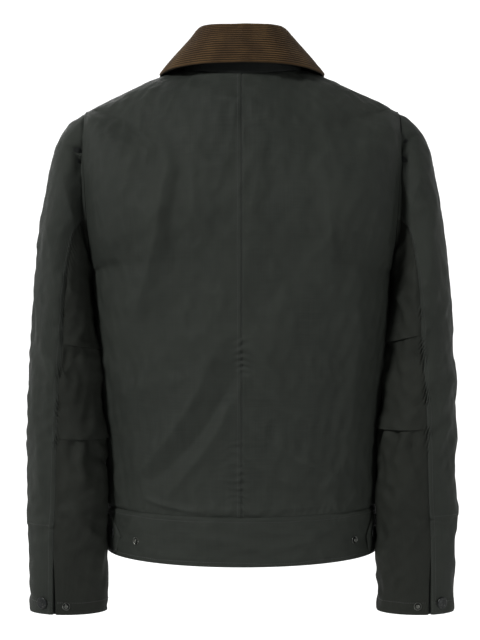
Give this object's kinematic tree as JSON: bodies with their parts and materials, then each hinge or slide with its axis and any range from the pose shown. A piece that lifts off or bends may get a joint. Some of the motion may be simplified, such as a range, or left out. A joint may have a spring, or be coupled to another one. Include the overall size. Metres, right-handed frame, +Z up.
{
  "type": "work jacket",
  "caption": "Hip-length work jacket with corduroy collar, two-piece sleeves, waistband with side tabs and a front zip, filled out with no wearer in it.",
  "frame": {"origin": "midway between the neck ends of the two shoulder seams, where the wearer's shoulders and neck hold the jacket", "axes": "+Z up the wearer's body, the front faces -Y, the wearer's left is +X"},
  "size_m": [0.5656, 0.293, 0.7656],
  "materials": {
    "cloth": "waxed cotton, dark green-grey, low sheen",
    "corduroy": "brown fine-wale corduroy",
    "snap": "dark enamelled press stud",
    "tape": "black-green woven zip tape",
    "zip_metal": "aged brass"
  },
  "bodies": {
    "jacket": {"back_left": "cloth", "back_right": "cloth", "front_left": "cloth", "front_right": "cloth", "sleeve_top_left": "cloth", "sleeve_top_right": "cloth", "sleeve_under_left": "cloth", "sleeve_under_right": "cloth", "cuff_underlap_left": "cloth", "cuff_underlap_right": "cloth", "collar_stand": "cloth", "collar_leaf": "corduroy", "waistband_back": "cloth", "waistband_front_left": "cloth", "waistband_front_right": "cloth", "tab_left": "cloth", "tab_right": "cloth", "tab_snap_left": "snap", "tab_snap_right": "snap", "waist_stud_left": "snap", "waist_stud_right": "snap", "cuff_snap_left": "snap", "cuff_snap_right": "snap", "cuff_stud_left": "snap", "cuff_stud_right": "snap", "zip_tape_left": "tape", "zip_tape_right": "tape", "zip_slider": "zip_metal"},
    "pull": {"zip_pull": "zip_metal"}
  },
  "joints": [
    {"name": "pull_swing", "type": "hinge", "parent": "jacket", "child": "pull", "pos_m": [0, -0.10154, -0.09346], "axis": [1, 0, 0], "range_deg": [-120, 0]}
  ]
}
